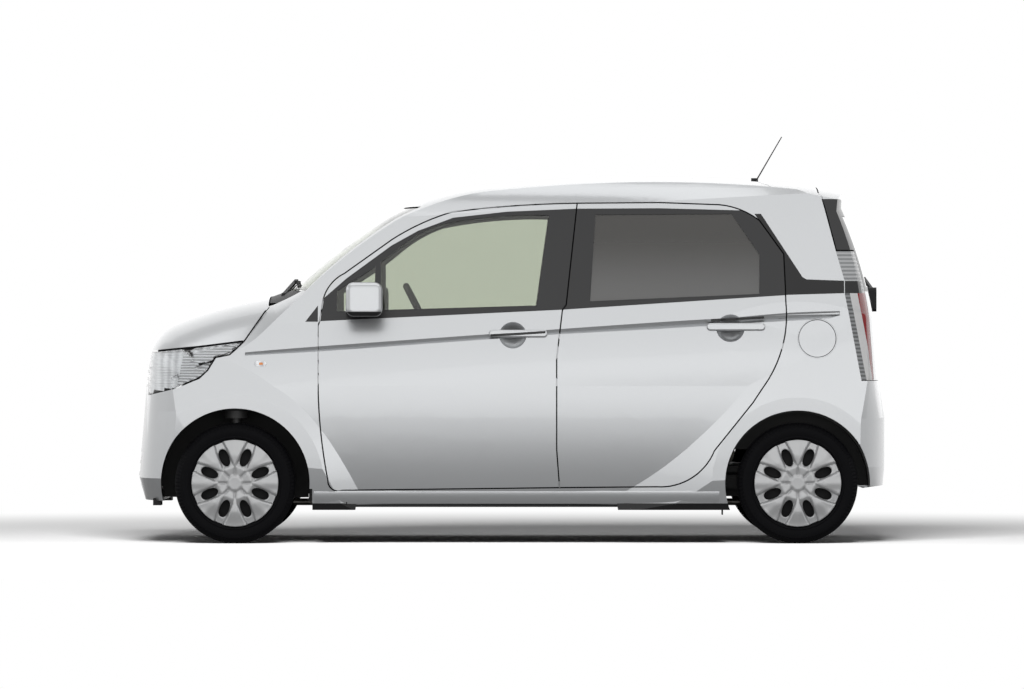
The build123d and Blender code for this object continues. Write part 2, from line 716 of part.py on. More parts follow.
def rear_axle():
    """Twist beam with trailing arms, coil springs and dampers."""
    z = tyre_radius
    beam = block(rear_x - 190, rear_x - 130, -500, 500, z - 20, z + 45)
    arm = side_prism([(rear_x - 420, z + 30), (rear_x - 420, z - 15), (rear_x - 60, z - 45),
                      (rear_x + 45, z - 45), (rear_x + 45, z + 45), (rear_x - 60, z + 40)], -540, -495)
    plate = cross_tube(rear_x, z, 95, -566, -540)
    bush = cross_tube(rear_x - 420, z + 5, 34, -560, -480)
    bore = cross_tube(rear_x, z, 22, -700, -480)
    spring = Pos(rear_x - 58, -430, z - 5) * Cylinder(48, 147, align=ALIGN_UP)
    seat = block(rear_x - 150, rear_x - 8, -500, -380, z - 25, z - 5)
    damper = Pos(rear_x + 20, -500, z - 10) * Cylinder(20, 152, align=ALIGN_UP)
    left_half, right_half = both(arm + plate + bush + seat + spring + damper - bore)
    return beam + left_half + right_half


# ---------------------------------------------------------------- wheels
WHEELS = [("front_left", front_x, -1), ("front_right", front_x, 1),
          ("rear_left", rear_x, -1), ("rear_right", rear_x, 1)]
cover_radius = 194.0
spokes = 8


def turned(points):
    """Ring turned about Z from (radius, height) points."""
    wire = ring(points, lambda u, v: Vector(u, 0, v))
    return revolve(Face(wire), Axis.Z)


def tyre():
    w, r = tyre_width / 2, tyre_radius
    return turned([(rim_radius, w - 24), (rim_radius + 22, w - 8), (r - 38, w), (r - 14, w - 5),
                   (r, w - 18), (r, -w + 18), (r - 14, -w + 5), (r - 38, -w),
                   (rim_radius + 22, -w + 8), (rim_radius, -w + 24)])


def wheel():
    """Steel rim, brake drum and hub shaft with the eight-spoke cover on the outer face (+Z)."""
    w, r = tyre_width / 2, rim_radius
    body = turned([(0, -110), (20, -110), (20, -46), (100, -46), (100, 4), (r - 22, 4),
                   (r - 22, -w + 24), (r, -w + 24), (r, w - 24), (r - 3, w - 12), (r - 20, w - 12),
                   (r - 21, 14), (60, 26), (0, 26)])
    cover = turned([(28, w - 22), (60, w - 14), (120, w - 6), (r - 18, w - 15), (r - 8, w - 15),
                    (cover_radius, w - 10), (cover_radius, w - 5), (r - 10, w - 2), (120, w + 1),
                    (60, w - 6), (46, w - 2), (28, w)])
    for i in range(spokes):
        angle = (i + 0.5) * 360 / spokes
        cover -= Rot(0, 0, angle) * Pos(118, 0, w - 40) * extrude(Ellipse(40, 24), 60)
    post = Pos(0, 0, 20) * Cylinder(30, w - 21, align=ALIGN_UP)
    return body + post + cover


def on_axle(shape, x, side):
    """Stand a turned piece on its axle, outer face outward."""
    return Pos(x, side * wheel_y, tyre_radius) * Rot(-90 * side, 0, 0) * shape


# ---------------------------------------------------------------- cabin
wheel_centre = Vector(X(-405), Y(330), Z(1000))
column_tilt = 27.0


def on_column(shape):
    return Pos(*wheel_centre) * Rot(0, 90 - column_tilt, 0) * shape


def steering_wheel():
    rim = Torus(steering_wheel_radius, 15)
    hub = Pos(0, 0, -30) * Cylinder(60, 42, align=ALIGN_UP)
    shape = rim + hub
    for angle in (0, 90, 270):
        shape += Rot(0, 0, angle) * Pos(115, 0, -6) * Box(130, 34, 14)
    shaft = Pos(0, 0, -60) * Cylinder(18, 32, align=ALIGN_UP)
    return on_column(shape + shaft)


def dashboard():
    points = [(-888, 560), (-888, 980), (-700, 1035), (-560, 1010), (-520, 960, 1), (-540, 890),
              (-640, 700), (-700, 560)]
    board = side_prism(placed(points), -inner_y + 30, inner_y - 30)
    column = on_column(Pos(0, 0, -330) * Cylinder(34, 262, align=ALIGN_UP))
    console = block(X(-888), X(-640), -120, 120, Z(215), 600)
    return board + column + console


def seat(y, width_y):
    """Plain cushion, back and headrest of one front seat."""
    x0, z0 = X(-280), Z(430)
    cushion = block(x0, x0 + 520, y - width_y / 2, y + width_y / 2, z0, z0 + 150)
    cushion = fillet(cushion.edges().filter_by(Axis.Z), 50)
    back = side_prism([(x0 + 400, z0 + 150), (x0 + 520, z0 + 100), (x0 + 640, z0 + 700),
                       (x0 + 560, z0 + 720)], y - width_y / 2 + 10, y + width_y / 2 - 10)
    head = side_prism([(x0 + 560, z0 + 718), (x0 + 640, z0 + 698), (x0 + 640, z0 + 880),
                       (x0 + 570, z0 + 890)], y - 120, y + 120)
    base = block(x0 + 60, x0 + 440, y - width_y / 2 + 40, y + width_y / 2 - 40, Z(215), z0)
    return cushion + back + head + base


def rear_bench():
    x0, half = X(600), 560.0
    cushion = block(x0, x0 + 460, -half, half, Z(345), Z(345) + 170)
    back = side_prism([(x0 + 400, Z(345) + 170), (x0 + 470, Z(345) + 100), (x0 + 560, Z(1120)),
                       (x0 + 490, Z(1130))], -half, half)
    bench = cushion + back
    for wheelhouse in both(cross_tube(rear_x, tyre_radius, rear_arch_radius + 6, -FAR, -528)):
        bench -= wheelhouse
    return bench


def engine():
    lx, ly, lz = engine_size
    body = chamfer((Pos(X(-1290), 0, 560) * Box(lx, ly, lz)).edges(), 20)
    mounts = block(X(-1330), X(-1250), -320, 320, Z(370), Z(420))
    return body + mounts


def fuel_tank():
    tank = block(X(720), X(1060), -380, 380, 205, 317)
    return fillet(tank.edges().filter_by(Axis.Z), 40)


def exhaust():
    z = 169.0
    pipe = Pos((X(-1000) + X(1250)) / 2, 120, z) * Rot(0, 90, 0) * Cylinder(16, X(1250) - X(-1000))
    silencer = fillet(block(X(1400), X(1600), -60, 330, 264, 364).edges(), 40)
    rise = block(X(1230), X(1410), 100, 140, z - 14, 270) + block(X(1370), X(1410), 100, 140, 260, 320)
    hangers = [block(x - 15, x + 15, 105, 135, z, Z(187)) for x in (X(-600), X(300))]
    hook = block(X(1480), X(1520), 100, 140, 350, Z(412))
    return pipe + silencer + rise + hangers[0] + hangers[1] + hook


def antenna():
    """Whip aerial leaning back from the rear of the roof."""
    foot, tip = Vector(X(1112), 0, Z(1628)), Vector(X(1236), 0, Z(1841))
    lean = math.degrees(math.atan2(tip.X - foot.X, tip.Z - foot.Z))
    rod = Cone(3.2, 2.2, (tip - foot).length, align=ALIGN_UP)
    base = Pos(foot) * Cylinder(16, 24, align=ALIGN_UP)
    mast = base + Pos(foot) * Rot(0, lean, 0) * rod
    return mast - forms.roof_block


def fuel_lid():
    x, z, r = FUEL_LID
    lid = forms.side & cross_tube(X(x), Z(z), r - 3, -FAR, -500)
    return lid - forms.skin


def build():
    parts = {}

    def pair(name, shape):
        parts[name + "_left"], parts[name + "_right"] = both(shape)

    pair("door_front", front_door())
    pair("door_rear", side_door(DOOR_REAR, REAR_LIGHT, 1005, 970))
    pair("door_glass_front", front_glass())
    pair("door_glass_rear", door_glass(REAR_LIGHT))
    pair("side_frame", side_frame())
    pair("quarter_trim", quarter_trim())
    pair("front_fender", front_fender())
    pair("headlamp", headlamp())
    pair("tail_lamp", tail_lamp())
    parts["bonnet"] = bonnet()
    parts["front_bumper"] = front_bumper()
    parts["grille"] = grille()
    parts["rear_bumper"] = rear_bumper()
    parts["roof_panel"] = roof_panel()
    parts["tailgate"] = tailgate()
    parts["tailgate_glass"] = tailgate_glass()
    parts["windscreen"] = windscreen()
    parts["cowl"] = cowl()
    parts["floor_pan"] = firewall_and_floor()
    parts["front_structure"] = front_structure()
    pair("knuckle", knuckle())
    parts["front_subframe"] = front_subframe()
    parts["steering_rack"] = steering_rack()
    parts["rear_axle"] = rear_axle()
    for name, x, side in WHEELS:
        parts["tyre_" + name] = on_axle(tyre(), x, side)
        parts["wheel_" + name] = on_axle(wheel(), x, side)
    parts["front_wipers"] = front_wipers()
    parts["rear_wiper"] = rear_wiper()
    parts["steering_wheel"] = steering_wheel()
    parts["dashboard"] = dashboard()
    for name, y in (("left", -320), ("right", 320)):
        parts["front_seat_" + name] = seat(y, seat_width)
    parts["rear_bench"] = rear_bench()
    parts["engine"] = engine()
    parts["fuel_tank"] = fuel_tank()
    parts["exhaust"] = exhaust()
    parts["fuel_lid"] = fuel_lid()
    parts["antenna"] = antenna()
    pocket = fuel_pocket(FUEL_LID[2], -FAR, -Y(690))
    parts["side_frame_left"] -= pocket
    pair("door_mirror", door_mirror())
    return parts


if __name__ == "__main__":
    os.makedirs("parts", exist_ok=True)
    for name, shape in build().items():
        solids = shape.solids() if hasattr(shape, "solids") else list(shape)
        shape = solids[0] if len(solids) == 1 else Compound(solids)
        print(name, len(solids), round(sum(s.volume for s in solids) / 1e6, 2))
        export_step(shape, "parts/%s.step" % name)
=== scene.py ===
"""Looks, studio and camera of the kei car. Metres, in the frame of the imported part."""

import math

import bmesh
import bpy
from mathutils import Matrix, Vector
from mathutils.bvhtree import BVHTree


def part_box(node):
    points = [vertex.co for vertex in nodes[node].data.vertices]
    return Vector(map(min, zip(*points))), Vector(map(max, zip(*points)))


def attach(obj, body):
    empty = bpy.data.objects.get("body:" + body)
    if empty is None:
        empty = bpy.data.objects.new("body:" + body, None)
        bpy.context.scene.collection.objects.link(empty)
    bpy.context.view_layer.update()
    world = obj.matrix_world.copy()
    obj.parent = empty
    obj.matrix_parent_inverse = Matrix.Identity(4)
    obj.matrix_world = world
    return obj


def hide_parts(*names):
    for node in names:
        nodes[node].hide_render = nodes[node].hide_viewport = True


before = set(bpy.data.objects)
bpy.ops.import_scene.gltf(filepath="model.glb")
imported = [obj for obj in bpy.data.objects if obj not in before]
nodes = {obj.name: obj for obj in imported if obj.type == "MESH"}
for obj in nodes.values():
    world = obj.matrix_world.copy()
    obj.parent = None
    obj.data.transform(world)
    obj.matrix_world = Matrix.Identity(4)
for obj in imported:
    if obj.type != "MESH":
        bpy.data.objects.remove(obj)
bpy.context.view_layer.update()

# ---------------------------------------------------------------- sizes taken from the frame
tyre_low, tyre_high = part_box("tyre_front_left")
wheel_radius = (tyre_high.z - tyre_low.z) / 2
tyre_width = tyre_high.y - tyre_low.y
front_axle_x = (tyre_low.x + tyre_high.x) / 2
rear_low, rear_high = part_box("tyre_rear_left")
rear_axle_x = (rear_low.x + rear_high.x) / 2
wheel_y = abs(tyre_low.y + tyre_high.y) / 2
SIDES = (("left", -1), ("right", 1))


# ---------------------------------------------------------------- shader helpers
class Shader:
    """A node material: a Principled shader with its colour and bump driven by noise."""

    def __init__(self, name, metallic=0.0, roughness=0.5, coat=0.0, coat_roughness=0.03,
                 transmission=0.0, ior=1.45, sheen=0.0, specular=0.5):
        self.material = bpy.data.materials.new(name)
        self.material.use_nodes = True
        self.tree = self.material.node_tree
        self.bsdf = self.tree.nodes["Principled BSDF"]
        self.set(self.bsdf, "Metallic", metallic)
        self.set(self.bsdf, "Roughness", roughness)
        self.set(self.bsdf, "Coat Weight", coat)
        self.set(self.bsdf, "Coat Roughness", coat_roughness)
        self.set(self.bsdf, "Transmission Weight", transmission)
        self.set(self.bsdf, "IOR", ior)
        self.set(self.bsdf, "Sheen Weight", sheen)
        self.set(self.bsdf, "Specular IOR Level", specular)
        self._position = None

    def set(self, node, socket, value):
        node.inputs[socket].default_value = value

    def add(self, kind, **values):
        node = self.tree.nodes.new(kind)
        for key, value in values.items():
            setattr(node, key, value)
        return node

    def link(self, a, b):
        self.tree.links.new(a, b)

    def position(self):
        if self._position is None:
            self._position = self.add("ShaderNodeNewGeometry")
        return self._position.outputs["Position"]

    def normal(self):
        self.position()
        return self._position.outputs["Normal"]

    def math(self, operation, a, b=0.0):
        node = self.add("ShaderNodeMath", operation=operation)
        for i, value in enumerate((a, b)):
            if isinstance(value, (int, float)):
                node.inputs[i].default_value = value
            else:
                self.link(value, node.inputs[i])
        return node.outputs[0]

    def dot(self, vector, direction):
        node = self.add("ShaderNodeVectorMath", operation="DOT_PRODUCT")
        self.link(vector, node.inputs[0])
        node.inputs[1].default_value = direction
        return node.outputs["Value"]

    def noise(self, scale, detail=2.0, stretch=(1, 1, 1)):
        mapping = self.add("ShaderNodeMapping")
        mapping.inputs["Scale"].default_value = stretch
        self.link(self.position(), mapping.inputs["Vector"])
        node = self.add("ShaderNodeTexNoise")
        self.set(node, "Scale", scale)
        self.set(node, "Detail", detail)
        self.link(mapping.outputs["Vector"], node.inputs["Vector"])
        return node.outputs["Fac"]

    def mix(self, factor, a, b):
        node = self.add("ShaderNodeMix", data_type="RGBA")
        for socket, value in ((node.inputs[0], factor), (node.inputs[6], a), (node.inputs[7], b)):
            if isinstance(value, (int, float)):
                socket.default_value = value
            elif isinstance(value, tuple):
                socket.default_value = (*value, 1.0)
            else:
                self.link(value, socket)
        return node.outputs[2]

    def speckle(self, color, scale, spread, detail=2.0, stretch=(1, 1, 1)):
        """Colour that varies about its value by the noise."""
        low = tuple(c * (1 - spread) for c in color)
        high = tuple(min(1.0, c * (1 + spread)) for c in color)
        return self.mix(self.noise(scale, detail, stretch), low, high)

    def base(self, color):
        self.link(color, self.bsdf.inputs["Base Color"])
        return self

    def bump(self, height, strength, distance):
        node = self.add("ShaderNodeBump")
        self.set(node, "Strength", strength)
        self.set(node, "Distance", distance)
        self.link(height, node.inputs["Height"])
        self.link(node.outputs["Normal"], self.bsdf.inputs["Normal"])
        return self

    def facing_in(self, centre, threshold=-0.45):
        """1 where a face looks towards the cabin's centre."""
        offset = self.add("ShaderNodeVectorMath", operation="SUBTRACT")
        self.link(self.position(), offset.inputs[0])
        offset.inputs[1].default_value = centre
        unit = self.add("ShaderNodeVectorMath", operation="NORMALIZE")
        self.link(offset.outputs[0], unit.inputs[0])
        node = self.add("ShaderNodeVectorMath", operation="DOT_PRODUCT")
        self.link(unit.outputs[0], node.inputs[0])
        self.link(self.normal(), node.inputs[1])
        return self.math("LESS_THAN", node.outputs["Value"], threshold)

    def inside(self, outline):
        """1 inside a convex outline of (x, z) points given anticlockwise seen from the left side."""
        signed = None
        for (x0, z0), (x1, z1) in zip(outline, outline[1:] + outline[:1]):
            length = math.hypot(x1 - x0, z1 - z0)
            nx, nz = -(z1 - z0) / length, (x1 - x0) / length
            depth = self.math("SUBTRACT", self.dot(self.position(), (nx, 0, nz)), nx * x0 + nz * z0)
            signed = depth if signed is None else self.math("MINIMUM", signed, depth)
        return self.math("GREATER_THAN", signed, 0.0)


def plain(name, color, spread=0.05, scale=60, bump=0.0, bump_scale=400, **kind):
    shader = Shader(name, **kind)
    shader.base(shader.speckle(color, scale, spread))
    if bump:
        shader.bump(shader.noise(bump_scale), 0.5, bump)
    return shader.material


SILVER = (0.44, 0.45, 0.46)
TRIM_GREY = (0.20, 0.195, 0.185)
HEADLINER = (0.55, 0.53, 0.48)
BLACK = (0.006, 0.006, 0.007)
CABIN_CENTRE = (0.15, 0.0, 0.95)

# Convex outlines (x, z), anticlockwise seen from the left side
WINDOW_SURROUND = [(-0.93, 0.992), (0.23, 1.047), (1.32, 1.118), (1.32, 1.486), (1.00, 1.4945),
                   (0.66, 1.5035), (0.29, 1.5015), (-0.02, 1.488), (-0.262, 1.461), (-0.42, 1.402),
                   (-0.54, 1.335), (-0.74, 1.188), (-0.86, 1.083), (-0.93, 1.01)]
FENDER_CORNER = [(-0.925, 0.993), (-0.80, 0.993), (-0.80, 1.10), (-0.848, 1.092)]
MIRROR_FOOT = [(-0.90, 0.95), (-0.40, 0.95), (-0.40, 1.037), (-0.90, 1.037)]
SILL_FOOT = [(-1.3, 0.0), (1.3, 0.0), (1.3, 0.180), (-1.3, 0.180)]
PILLAR_BLACK = [(0.20, 1.00), (0.40, 1.00), (0.40, 1.498), (0.20, 1.498)]
TAILGATE_WINDOW = [(1.30, 1.13), (1.80, 1.13), (1.80, 1.545), (1.30, 1.545)]


def paint(name, inner, black=()):
    """Silver metallic with a clear coat; `inner` colours the faces that look into the cabin."""
    shader = Shader(name, metallic=0.70, roughness=0.28, coat=0.6, coat_roughness=0.03)
    color = shader.speckle(SILVER, 1400, 0.06, detail=0.0)
    turned_in = shader.facing_in(CABIN_CENTRE)
    plastic = turned_in
    for outline in black:
        mask = shader.inside(outline)
        color = shader.mix(mask, color, BLACK)
        plastic = shader.math("MAXIMUM", plastic, mask)
    color = shader.mix(turned_in, color, inner)
    shader.base(color)
    painted = shader.math("SUBTRACT", 1.0, plastic)
    shader.link(shader.math("MULTIPLY", painted, 0.70), shader.bsdf.inputs["Metallic"])
    shader.link(shader.math("MULTIPLY", painted, 0.6), shader.bsdf.inputs["Coat Weight"])
    return shader.material


def tinted(name, tint):
    shader = Shader(name, transmission=1.0, roughness=0.0, ior=1.45)
    shader.base(shader.speckle(tint, 3, 0.01))
    return shader.material


def graded_glass(name, low, high, tint_low, tint_high, clear=1.0):
    """Glass tinted from one colour at height `low` to another at `high`; below clear=1 it is milky."""
    shader = Shader(name, transmission=clear, roughness=0.0, ior=1.45)
    rise = shader.add("ShaderNodeMapRange", interpolation_type="SMOOTHSTEP")
    shader.set(rise, "From Min", low)
    shader.set(rise, "From Max", high)
    shader.link(shader.dot(shader.position(), (0, 0, 1)), rise.inputs["Value"])
    shader.base(shader.mix(rise.outputs[0], tint_low, tint_high))
    return shader.material


LAMP_WEDGE = [(-1.500, 0.700), (-1.392, 0.735), (-1.240, 0.842), (-1.195, 0.905), (-1.470, 0.842)]


def ribbed_reflector():
    """Bright lamp reflector; its rear wedge is darker, with level white ribs."""
    shader = Shader("lamp_reflector", metallic=0.35, roughness=0.28, coat=0.5)
    ribs = shader.add("ShaderNodeTexWave", wave_type="BANDS", bands_direction="Z")
    shader.set(ribs, "Scale", 26.0)
    shader.set(ribs, "Distortion", 0.6)
    shader.link(shader.position(), ribs.inputs["Vector"])
    upright = shader.add("ShaderNodeTexWave", wave_type="BANDS", bands_direction="X")
    shader.set(upright, "Scale", 9.0)
    shader.set(upright, "Distortion", 1.5)
    shader.link(shader.position(), upright.inputs["Vector"])
    bright = shader.mix(upright.outputs["Fac"], (0.62, 0.63, 0.64), (0.92, 0.93, 0.94))
    wedge = shader.mix(ribs.outputs["Fac"], (0.26, 0.265, 0.27), (0.85, 0.86, 0.87))
    shader.base(shader.mix(shader.inside(LAMP_WEDGE), bright, wedge))
    return shader.bump(ribs.outputs["Fac"], 0.5, 0.003).material


def half_plane(x, z, dx, dz, reach=3.0):
    """Convex outline of what lies to the left of a ray (seen from the left side) through x, z."""
    length = math.hypot(dx, dz)
    dx, dz = dx / length * reach, dz / length * reach
    return [(x - dx, z - dz), (x + dx, z + dz), (x + dx - dz, z + dz + dx), (x - dx - dz, z - dz + dx)]


def lamp_bands():
    """Tail lamp: clear top, black band, ribbed grey strip, white strip and red lens."""
    shader = Shader("tail_lamp_lens", roughness=0.25, coat=0.3, coat_roughness=0.02, specular=0.15)
    lean = (0.072, -0.385)
    red = shader.speckle((0.30, 0.006, 0.010), 60, 0.15)
    ribs = shader.add("ShaderNodeTexWave", wave_type="BANDS", bands_direction="Z")
    shader.set(ribs, "Scale", 18.0)
    shader.link(shader.position(), ribs.inputs["Vector"])
    grey = shader.mix(ribs.outputs["Fac"], (0.12, 0.125, 0.13), (0.36, 0.37, 0.38))
    white = shader.speckle((0.80, 0.80, 0.80), 120, 0.06)
    clear = shader.mix(ribs.outputs["Fac"], (0.30, 0.31, 0.32), (0.66, 0.67, 0.68))
    color = red
    color = shader.mix(shader.inside(half_plane(1.582, 0.95, -lean[0], -lean[1])), color, white)
    color = shader.mix(shader.inside(half_plane(1.548, 0.95, -lean[0], -lean[1])), color, grey)
    color = shader.mix(shader.inside(half_plane(1.5, 1.122, -1, 0)), clear, color)
    band = [(1.40, 1.121), (1.572, 1.121), (1.566, 1.176), (1.40, 1.176)]
    color = shader.mix(shader.inside(band), color, BLACK)
    shader.base(color)
    return shader.material


MATERIAL = {
    "body": paint("silver_body", TRIM_GREY, (PILLAR_BLACK, SILL_FOOT)),
    "door": paint("silver_door", TRIM_GREY, (WINDOW_SURROUND,)),
    "roof": paint("silver_roof", HEADLINER),
    "panel": paint("silver_panel", (0.04, 0.04, 0.042)),
    "fender": paint("silver_fender", (0.04, 0.04, 0.042), (FENDER_CORNER, SILL_FOOT)),
    "mirror_shell": paint("silver_mirror", (0.04, 0.04, 0.042), (MIRROR_FOOT,)),
    "gate": paint("silver_tailgate", TRIM_GREY, (TAILGATE_WINDOW,)),
    # black for painted shade in the shut-line gaps, the sill seam and the fuel-lid ring, and for the
    # black rubber of the headlamp seals
    "gap_shade_and_seal": plain("painted_gap_shade_and_seal_black", (0.010, 0.010, 0.011), roughness=0.8, specular=0.1),
    "green_glass": tinted("green_glass", (0.64, 0.675, 0.59)),
    "screen_glass": graded_glass("windscreen_glass", 1.38, 1.46, (0.69, 0.725, 0.64), (0.16, 0.18, 0.16)),
    # privacy glass: the dark tint is its own; lighter at the bottom and darker at the top is a painted
    # reflection
    "dark_glass": graded_glass("privacy_glass_painted_reflection_gradient", 1.10, 1.40, (0.28, 0.28, 0.276), (0.105, 0.10, 0.09),
                               clear=0.45),
    "lens": tinted("clear_lens", (0.95, 0.96, 0.97)),
    "tail": lamp_bands(),
    "tyre": plain("tyre_rubber", (0.006, 0.006, 0.007), roughness=0.6, bump=0.0004, specular=0.06),
    "cover": plain("wheel_cover_silver", (0.50, 0.505, 0.51), metallic=0.35, roughness=0.36,
                   spread=0.03, scale=900),
    "rim": plain("rim_steel", (0.018, 0.018, 0.019), roughness=0.6, specular=0.2),
    "black_plastic": plain("black_plastic", (0.014, 0.014, 0.015), roughness=0.55, bump=0.0003,
                           specular=0.3),
    "gloss_black": plain("gloss_black", BLACK, roughness=0.12, specular=0.35),
    "steel": plain("chassis_black", (0.02, 0.02, 0.02), roughness=0.6, metallic=0.2, specular=0.3),
    "iron": plain("cast_iron", (0.10, 0.10, 0.10), roughness=0.6, metallic=0.7, bump=0.0005),
    "alloy": plain("cast_alloy", (0.42, 0.42, 0.42), roughness=0.5, metallic=0.9, bump=0.0005),
    "dull_steel": plain("dull_steel", (0.40, 0.38, 0.35), roughness=0.4, metallic=1.0),
    "reflector": ribbed_reflector(),
    "chrome": plain("lamp_chrome", (0.86, 0.87, 0.88), roughness=0.12, metallic=1.0, spread=0.02),
    "trim": plain("trim_plastic", TRIM_GREY, roughness=0.6, bump=0.0004),
    "dark_trim": plain("dark_trim", (0.05, 0.048, 0.045), roughness=0.6, bump=0.0004),
    "amber": plain("amber_bulb", (0.75, 0.22, 0.02), roughness=0.3),
    "mirror": plain("mirror_silver", (0.80, 0.81, 0.82), roughness=0.02, metallic=1.0, spread=0.01),
    "fabric": plain("seat_cloth", (0.33, 0.31, 0.27), roughness=0.9, sheen=0.3, spread=0.12,
                    scale=700, bump=0.0006, bump_scale=1500),
}

DRESS = [
    ("door_front", "door"), ("door_rear", "door"), ("side_frame", "body"), ("roof_panel", "roof"),
    ("tailgate_glass", "dark_glass"), ("tailgate", "gate"), ("front_fender", "fender"),
    ("bonnet", "panel"), ("front_bumper", "panel"), ("rear_bumper", "panel"), ("fuel_lid", "panel"),
    ("door_glass_front", "green_glass"), ("windscreen", "screen_glass"),
    ("door_glass_rear", "dark_glass"), ("quarter_trim", "gloss_black"),
    ("headlamp", "chrome"), ("tail_lamp", "tail"), ("grille", "gloss_black"),
    ("cowl", "black_plastic"), ("door_mirror", "mirror_shell"), ("antenna", "black_plastic"),
    ("front_wipers", "black_plastic"), ("rear_wiper", "black_plastic"),
    ("floor_pan", "steel"), ("front_structure", "steel"), ("front_subframe", "steel"),
    ("rear_axle", "steel"), ("steering_rack", "steel"), ("knuckle", "iron"), ("engine", "alloy"),
    ("fuel_tank", "black_plastic"), ("exhaust", "dull_steel"), ("dashboard", "trim"),
    ("steering_wheel", "dark_trim"), ("front_seat", "fabric"), ("rear_bench", "fabric"),
    ("tyre", "tyre"), ("wheel_", "cover"),
]


def material_for(name):
    best = max((key for key, _ in DRESS if name.startswith(key)), key=len)
    return MATERIAL[dict(DRESS)[best]]


for name, node in nodes.items():
    node.data.materials.clear()
    node.data.materials.append(material_for(name))


# ---------------------------------------------------------------- shut lines, painted shade on the gap faces
PANELS = ("door_front", "door_rear", "side_frame", "front_fender", "bonnet", "front_bumper",
          "rear_bumper", "tailgate", "roof_panel", "fuel_lid", "quarter_trim", "headlamp", "tail_lamp")
GAP_REACH = 0.011


def paint_gap_shade():
    """Painted shade: black on the edge faces that look across a narrow gap at another panel, where the
    gap would fall dark.
    """
    verts, faces, owner = [], [], []
    for name, node in nodes.items():
        if "tyre" in name or "wheel" in name or "glass" in name:
            continue
        first = len(verts)
        verts += [v.co.copy() for v in node.data.vertices]
        faces += [[first + k for k in p.vertices] for p in node.data.polygons]
        owner += [name] * len(node.data.polygons)
    tree = BVHTree.FromPolygons(verts, faces)
    for name, node in nodes.items():
        if not name.startswith(PANELS) or "glass" in name:
            continue
        node.data.materials.append(MATERIAL["gap_shade_and_seal"])
        for face in node.data.polygons:
            start = face.center + face.normal * 0.0004
            met = tree.ray_cast(start, face.normal, GAP_REACH)[2]
            if met is not None and owner[met] != name:
                face.material_index = 1


paint_gap_shade()


# ---------------------------------------------------------------- mesh helpers
def piece(name, verts, faces, material, body="root", smooth=True):
    mesh = bpy.data.meshes.new(name)
    mesh.from_pydata([tuple(v) for v in verts], [], faces)
    mesh.update()
    made = bpy.data.objects.new(name, mesh)
    bpy.context.scene.collection.objects.link(made)
    mesh.materials.append(MATERIAL[material])
    if smooth:
        mesh.shade_smooth()
        mesh.set_sharp_from_angle(angle=math.radians(35))
    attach(made, body)
    return made


def ring_grid(profile, count, shape=None):
    """Vertices and faces of a ring about Y from closed (radius, y) points; shape may move a point."""
    verts, faces, rows = [], [], len(profile)
    for i in range(count):
        angle = 2 * math.pi * i / count
        for j, (radius, y) in enumerate(profile):
            r, v = shape(i, j, radius, y) if shape else (radius, y)
            verts.append((r * math.cos(angle), v, r * math.sin(angle)))
    for i in range(count):
        for j in range(rows):
            a, b = i * rows + j, i * rows + (j + 1) % rows
            c, d = ((i + 1) % count) * rows + (j + 1) % rows, ((i + 1) % count) * rows + j
            faces.append((a, b, c, d))
    return verts, faces


def moved(verts, x, y, z, flip=1):
    return [(x + vx, y + flip * vy, z + vz) for vx, vy, vz in verts]


def turned_faces(faces, flip):
    return [tuple(reversed(f)) for f in faces] if flip < 0 else faces


# ---------------------------------------------------------------- wheels
TYRE_COLUMNS, TYRE_ROWS = 288, 40
RIM_COLUMNS = 64


def tyre_profile():
    half, r = tyre_width / 2, wheel_radius
    side = [(r - 0.083, half - 0.024), (r - 0.074, half - 0.012), (r - 0.068, half - 0.0035),
            (r - 0.064, half - 0.0015), (r - 0.060, half - 0.004), (r - 0.048, half - 0.001),
            (r - 0.036, half), (r - 0.024, half - 0.0015), (r - 0.0225, half - 0.003),
            (r - 0.013, half - 0.008), (r - 0.0055, half - 0.016), (r - 0.0015, half - 0.024)]
    tread = [(r - 0.0005, half - 0.034), (r - 0.006, half - 0.035), (r - 0.006, half - 0.040),
             (r - 0.0005, half - 0.041), (r, 0.016), (r - 0.006, 0.015), (r - 0.006, 0.009), (r, 0.008)]
    outer = side + tread
    return outer + [(radius, -y) for radius, y in reversed(outer)]


def rib(i, j, radius, y):
    """Fine radial sipes on both shoulders."""
    shoulder = (8, 9, 10, 11)
    if (j in shoulder or TYRE_ROWS - 1 - j in shoulder) and i % 3 == 0:
        return radius - 0.0018, y - math.copysign(0.0016, y)
    return radius, y


COVER_RADIUS = 0.194
COVER_COLUMNS, COVER_ROWS = 320, 44
SPOKES = 8


def smooth_step(edge0, edge1, value):
    t = min(1.0, max(0.0, (value - edge0) / (edge1 - edge0)))
    return t * t * (3 - 2 * t)


def cover_height(radius, angle):
    """Outward height of the wheel cover's face above the tyre's side plane."""
    share = radius / COVER_RADIUS
    dome = 0.002 - 0.009 * smooth_step(0.62, 1.0, share) - 0.005 * (1 - smooth_step(0.08, 0.42, share))
    sector = 2 * math.pi / SPOKES
    across = abs((angle + sector / 2) % sector - sector / 2)        # 0 at a spoke, sector/2 at a window
    offset = (sector / 2 - across) * radius                        # arc distance from the window's middle
    pocket_half = 0.033 - 0.006 * smooth_step(0.75, 1.0, share)
    reach = smooth_step(0.36, 0.50, share)
    pocket = (1 - smooth_step(pocket_half * 0.62, pocket_half, offset)) * reach
    spine = across * radius
    notch = (1 - smooth_step(0.0, 0.012, spine)) * smooth_step(0.14, 0.22, share) \
        * (1 - smooth_step(0.30, 0.46, share))
    crown = (1 - smooth_step(0.0, 0.030, spine)) * 0.0025 * smooth_step(0.4, 0.7, share)
    hub = 0.006 * (1 - smooth_step(0.14, 0.20, share))
    return dome - 0.015 * pocket - 0.007 * notch + crown + hub


WINDOW_RADIUS, WINDOW_REACH = 0.122, 0.041


